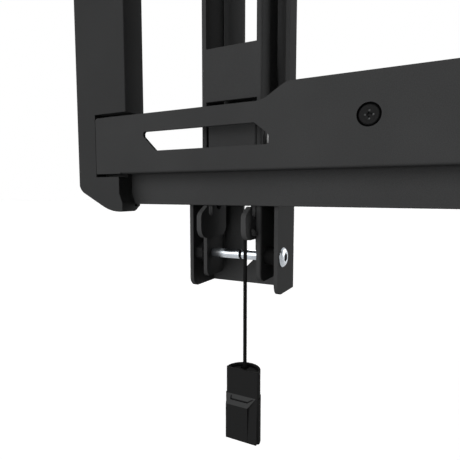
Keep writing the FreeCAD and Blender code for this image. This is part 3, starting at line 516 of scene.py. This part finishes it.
def braided_cord(name, finish):
    """Black braid: two sets of ribs wind opposite ways round the cord, under fine fibres.

    With n waves, a the angle round the cord and h a full turn for each wave length along it,
    the ribs are |sin(n a + h) sin(n a - h)|.
    """
    material, tree = new_material(name)
    place = object_place(tree)
    fibre = grain_of(tree, drawn_out(tree, place, FIBRE_DRAWN), finish)
    split = parts_of(tree, place)
    across = difference(tree, from_bracket(tree, split["X"]), CORD_X)
    out = difference(tree, split["Y"], CORD_OUT)
    turn = product(tree, reckon(tree, "ARCTAN2", out, across), BRAID_WAVES)
    climb = product(tree, split["Z"], FULL_TURN / BRAID_WAVE_LENGTH)
    one_way = reckon(tree, "SINE", total(tree, turn, climb))
    other_way = reckon(tree, "SINE", difference(tree, turn, climb))
    ribs = reckon(tree, "ABSOLUTE", product(tree, one_way, other_way))
    height = total(tree, ribs, product(tree, fibre, FIBRE_SHARE))
    tone = spread(tree, height, *finish.tone, *BRAID_RANGE)
    surface(tree, finish, cool_grey(tree, finish, tone), fibre, height)
    return material


def knotted_braid(name, finish):
    """The cord's braid where it is pulled tight in the knot."""
    material, tree = new_material(name)
    fibre = grain_of(tree, object_place(tree), finish)
    tone = spread(tree, fibre, *finish.tone)
    surface(tree, finish, cool_grey(tree, finish, tone), fibre, fibre)
    return material


def clear_tube(name, finish):
    """Clear acrylic tube of the vial, with faint draw lines."""
    material, tree = new_material(name)
    lines = grain_of(tree, drawn_out(tree, object_place(tree), TUBE_LINES), finish)
    tone = spread(tree, lines, *finish.tone)
    surface(tree, finish, cool_grey(tree, finish, tone), lines)
    return material


def tinted_clear(name, finish):
    """Half clear fluid or bubble, whose colour drifts between two tints."""
    material, tree = new_material(name)
    drift = grain_of(tree, object_place(tree), finish)
    surface(tree, finish, blended(tree, drift, *finish.tone), drift)
    return material


def mark_paint(name, finish):
    """Mottled black paint of the marks round the vial."""
    material, tree = new_material(name)
    mottle = grain_of(tree, object_place(tree), finish)
    tone = spread(tree, mottle, *finish.tone)
    surface(tree, finish, cool_grey(tree, finish, tone), mottle)
    return material


def dress(piece, material):
    """Gives a piece that material in every slot."""
    if not piece.material_slots:
        piece.data.materials.append(material)
    for held in piece.material_slots:
        held.material = material


def placed(name, data):
    """An object that holds that data, in the scene."""
    made = bpy.data.objects.new(name, data)
    bpy.context.scene.collection.objects.link(made)
    return made


def wrapped_sheet(name, points, closed_along):
    """Piece from a grid of points (along, round, 3) that closes round, and along if asked.

    Quads join each ring to the next. An open end is closed by one face over its ring.
    """
    along, around = points.shape[:2]
    index = np.arange(along * around).reshape(along, around)
    following = np.roll(index, -1, axis=0) if closed_along else index[1:]
    first = index if closed_along else index[:-1]
    quads = np.stack([first, np.roll(first, -1, axis=1), np.roll(following, -1, axis=1),
                      following], axis=-1).reshape(-1, 4)
    faces = quads.tolist()
    if not closed_along:
        faces += [index[0][::-1].tolist(), index[-1].tolist()]
    mesh = bpy.data.meshes.new(name)
    mesh.from_pydata(points.reshape(-1, 3).tolist(), [], faces)
    mesh.polygons.foreach_set("use_smooth", np.ones(len(faces), dtype=bool))
    mesh.update()
    return placed(name, mesh)


def turned_piece(name, along, radius, middle):
    """Surface of revolution about a line along X through middle.

    At each place along the line a circle of that radius: y = r cos a, z = r sin a.
    """
    angle = np.linspace(0.0, FULL_TURN, TURNED_SIDES, endpoint=False)
    points = np.empty((len(along), len(angle), 3))
    points[..., 0] = middle[0] + along[:, None]
    points[..., 1] = middle[1] + radius[:, None] * np.cos(angle)
    points[..., 2] = middle[2] + radius[:, None] * np.sin(angle)
    return wrapped_sheet(name, points, False)


def rounded_rod(half, radius, end):
    """Profile along X of a rod whose two ends round off over that length.

    As t runs from almost 0 to a quarter turn, x comes in from the tip as end cos t, and
    the radius grows as sin t to the power of the fullness.
    """
    turn = np.linspace(END_TIP_ANGLE, FULL_TURN / 4, END_RINGS)
    end_x = half - end + end * np.cos(turn)
    end_radius = radius * np.sin(turn) ** END_FULLNESS
    along = np.concatenate([-end_x, end_x[::-1]])
    return along, np.concatenate([end_radius, end_radius[::-1]])


def place_camera():
    """The photograph's viewpoint, behind the wall plane and looking left and down."""
    data = bpy.data.cameras.new("photo_camera")
    data.sensor_fit = "HORIZONTAL"
    data.sensor_width = SENSOR_WIDTH
    data.lens = SENSOR_WIDTH * FOCAL_PIXELS / PICTURE_PIXELS
    data.clip_start, data.clip_end = CAMERA_CLIP
    camera = placed("photo_camera", data)
    camera.location = CAMERA_PLACE
    camera.rotation_euler = Euler(
        (math.radians(90.0 - CAMERA_PITCH), 0.0, math.radians(CAMERA_YAW)), "XYZ")
    bpy.context.scene.camera = camera


def cord_route(side):
    """The route's points: the hole in the latch, the corner, one below it, and the tab."""
    x = BRACKET_X[side]
    beside_corner = LATCH_HALF - CORD_X
    return [
        (x + LATCH_HALF, CORD_OUT, CORD_HOLE_Z),
        (x + CORD_X, CORD_OUT, CORD_HOLE_Z),
        (x + CORD_X, CORD_OUT, CORD_HOLE_Z - beside_corner),
        (x + CORD_X, CORD_OUT, CORD_END_Z),
    ]


def knot_line():
    """The line of the knot's strand, lying on the latch: X is out from it.

    It is the trefoil (sin t + 2 sin 2t, cos t - 2 cos 2t, -sin 3t), squeezed to the knot's
    size and then turned in its own plane.
    """
    t = np.linspace(0.0, FULL_TURN, KNOT_RINGS, endpoint=False)
    across = (np.sin(t) + 2 * np.sin(2 * t)) / TREFOIL_SPAN * KNOT_HALF_SPAN
    upright = (np.cos(t) - 2 * np.cos(2 * t)) / TREFOIL_HEIGHT * KNOT_HALF_HEIGHT
    tilt = math.radians(-KNOT_TILT)
    return np.stack([
        -np.sin(3 * t) * KNOT_WAVE,
        across * math.cos(tilt) - upright * math.sin(tilt),
        across * math.sin(tilt) + upright * math.cos(tilt),
    ], axis=1)


def tied_knot(side, material):
    """Knot at the cord's upper end: a round strand along the knot's line.

    Each ring of the strand stands square to the line. Its places are the line's plus the
    strand's radius times (cos a sideways + sin a upwards).
    """
    line = knot_line()
    ahead = np.roll(line, -1, axis=0) - np.roll(line, 1, axis=0)
    ahead /= np.linalg.norm(ahead, axis=1)[:, None]
    sideways = np.cross(ahead, np.array([1.0, 0.0, 0.0]))
    sideways /= np.linalg.norm(sideways, axis=1)[:, None]
    upwards = np.cross(sideways, ahead)
    turn = np.linspace(0.0, FULL_TURN, KNOT_SIDES, endpoint=False)[None, :, None]
    around = np.cos(turn) * sideways[:, None, :] + np.sin(turn) * upwards[:, None, :]
    middle = np.array([BRACKET_X[side] + LATCH_HALF + KNOT_RADIUS + KNOT_WAVE, CORD_OUT,
                       CORD_HOLE_Z])
    rings = line[:, None, :] + KNOT_RADIUS * around + middle
    knot = wrapped_sheet("tied_knot_" + side, rings, True)
    dress(knot, material)
    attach(knot, side + " latch")
    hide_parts("cord_knot_" + side)
    return knot


def hang_cord(side, material, knot):
    """Round cord on a smooth spline that follows its route, held by the latch."""
    route = cord_route(side)
    data = bpy.data.curves.new("pull_cord_braid_" + side, "CURVE")
    data.dimensions = "3D"
    data.bevel_depth = CORD_DIAMETER / 2
    data.bevel_resolution = CORD_ROUND_STEPS
    data.resolution_u = CORD_LINE_STEPS
    data.use_fill_caps = True
    spline = data.splines.new("NURBS")
    spline.points.add(len(route) - 1)
    spline.points.foreach_set("co", np.column_stack([route, np.ones(len(route))]).ravel())
    spline.order_u = 3
    spline.use_endpoint_u = True
    cord = placed(data.name, data)
    dress(cord, material)
    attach(cord, side + " latch")
    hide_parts("pull_cord_" + side)


def fill_vial(tube_material):
    """Clear tube, its fluid with the bubble near the top, and two painted marks."""
    tube = turned_piece("vial_tube", *rounded_rod(VIAL_HALF, VIAL_RADIUS, VIAL_END),
                        VIAL_MIDDLE)
    dress(tube, tube_material)
    fluid = turned_piece("vial_fluid",
                         *rounded_rod(FLUID_HALF, VIAL_RADIUS - VIAL_WALL, FLUID_END),
                         VIAL_MIDDLE)
    dress(fluid, tinted_clear("tinted_fluid", FLUID))
    bubble = turned_piece("vial_bubble",
                          *rounded_rod(BUBBLE_HALF, BUBBLE_RADIUS, BUBBLE_END),
                          np.array(VIAL_MIDDLE) + np.array([0.0, 0.0, BUBBLE_RISE]))
    dress(bubble, tinted_clear("pale_bubble", BUBBLE))
    paint = mark_paint("mark_paint", PAINT)
    along = np.array([-MARK_HALF, -MARK_HALF, MARK_HALF, MARK_HALF])
    radius = VIAL_RADIUS + np.array([-MARK_SUNK, MARK_PROUD, MARK_PROUD, -MARK_SUNK])
    marks = [turned_piece(f"vial_mark_{number}", place + along, radius, VIAL_MIDDLE)
             for number, place in enumerate(MARK_PLACES, start=1)]
    for mark in marks:
        dress(mark, paint)
    for piece in (tube, fluid, bubble, *marks):
        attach(piece, "wall frame")
        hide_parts("level_vial")


def seen_plainly(tree):
    """1 for what the camera sees straight, in a reflection or through a clear piece."""
    path = tree.nodes.new("ShaderNodeLightPath").outputs
    straight = reckon(tree, "MAXIMUM", path["Is Camera Ray"], path["Is Glossy Ray"])
    return reckon(tree, "MAXIMUM", straight, path["Is Transmission Ray"])


def light_world():
    """Faint even light; plain white to the camera, in reflections and through clear pieces."""
    world = bpy.data.worlds.new("studio")
    bpy.context.scene.world = world
    world.use_nodes = True
    tree = world.node_tree
    tree.nodes.clear()
    faint = node(tree, "ShaderNodeBackground", Color=WHITE, Strength=ROOM_LIGHT)
    plain = node(tree, "ShaderNodeBackground", Color=WHITE, Strength=BACKGROUND_LIGHT)
    mix = tree.nodes.new("ShaderNodeMixShader")
    tree.links.new(seen_plainly(tree), mix.inputs["Fac"])
    tree.links.new(faint.outputs["Background"], mix.inputs[1])
    tree.links.new(plain.outputs["Background"], mix.inputs[2])
    output = tree.nodes.new("ShaderNodeOutputWorld")
    tree.links.new(mix.outputs["Shader"], output.inputs["Surface"])


def soft_sun(name, towards, strength, width):
    """A distant lamp as broad as that many degrees, which shines along a direction."""
    data = bpy.data.lights.new(name, "SUN")
    data.energy = strength
    data.angle = math.radians(width)
    lamp = placed(name, data)
    lamp.rotation_euler = Vector(towards).to_track_quat("-Z", "Y").to_euler()


def pale_floor():
    """White where it is lit and seen, and it keeps the mount's shadow.

    It gives little light back to the mount, and lets the broad lamps shine up through it.
    """
    material, tree = new_material("pale_floor")
    path = tree.nodes.new("ShaderNodeLightPath").outputs
    diffuse = tree.nodes.new("ShaderNodeBsdfDiffuse")
    tone = spread(tree, path["Is Diffuse Ray"], FLOOR_TONE, FLOOR_RETURN, 0.0, 1.0)
    tree.links.new(tone, diffuse.inputs["Color"])
    glow = node(tree, "ShaderNodeEmission", Color=WHITE)
    tree.links.new(product(tree, seen_plainly(tree), FLOOR_GLOW), glow.inputs["Strength"])
    both = tree.nodes.new("ShaderNodeAddShader")
    tree.links.new(diffuse.outputs["BSDF"], both.inputs[0])
    tree.links.new(glow.outputs["Emission"], both.inputs[1])
    clear = tree.nodes.new("ShaderNodeBsdfTransparent")
    passing = tree.nodes.new("ShaderNodeMixShader")
    tree.links.new(path["Is Shadow Ray"], passing.inputs["Fac"])
    tree.links.new(both.outputs["Shader"], passing.inputs[1])
    tree.links.new(clear.outputs["BSDF"], passing.inputs[2])
    output = tree.nodes.new("ShaderNodeOutputMaterial")
    tree.links.new(passing.outputs["Shader"], output.inputs["Surface"])
    return material


def lay_floor():
    """Level floor well below the mount."""
    half = FLOOR_HALF
    corners = [(-half, -half, FLOOR_Z), (half, -half, FLOOR_Z), (half, half, FLOOR_Z),
               (-half, half, FLOOR_Z)]
    mesh = bpy.data.meshes.new("floor")
    mesh.from_pydata(corners, [], [(0, 1, 2, 3)])
    floor = placed("floor", mesh)
    dress(floor, pale_floor())


def light_scene():
    """Soft lamps, the world's light and the floor, with colours shown as they are."""
    bpy.context.scene.view_settings.view_transform = "Standard"
    light_world()
    for lamp in LAMPS:
        soft_sun(*lamp)
    lay_floor()


nodes = frame["nodes"]
slots = {part["node"]: part["material_slot"] for part in frame["record"]["subparts"]}
finishes = {
    "black_steel": powder_coated_steel("powder_coated_steel", COAT),
    "black_plastic": moulded_black("moulded_black", MOULDED),
    "black_tab": tab_plastic("tab_plastic", TAB),
    "black_bush": bush_plastic("bush_plastic", BUSH),
    "zinc_steel": turned_bolt("zinc_plate", ZINC),
    "black_screw": blackened_screw("blackened_screw", OXIDE),
    "black_cord": braided_cord("braided_cord", BRAID),
    "clear_vial": clear_tube("clear_tube", TUBE),
}
own_finishes = {
    "guide_bolt": turned_bolt("shaded_zinc_bolt", SHADED_ZINC),
    "latch": powder_coated_steel("lit_latch_coat", LIT_LATCH_COAT),
}
knot_finish = knotted_braid("knotted_braid", KNOT)

place_camera()
for side in BRACKET_X:
    hang_cord(side, finishes["black_cord"], tied_knot(side, knot_finish))
for name, piece in nodes.items():
    kind = name.rsplit("_", 1)[0]
    dress(piece, own_finishes.get(kind, finishes[slots[name]]))
fill_vial(finishes["clear_vial"])
light_scene()
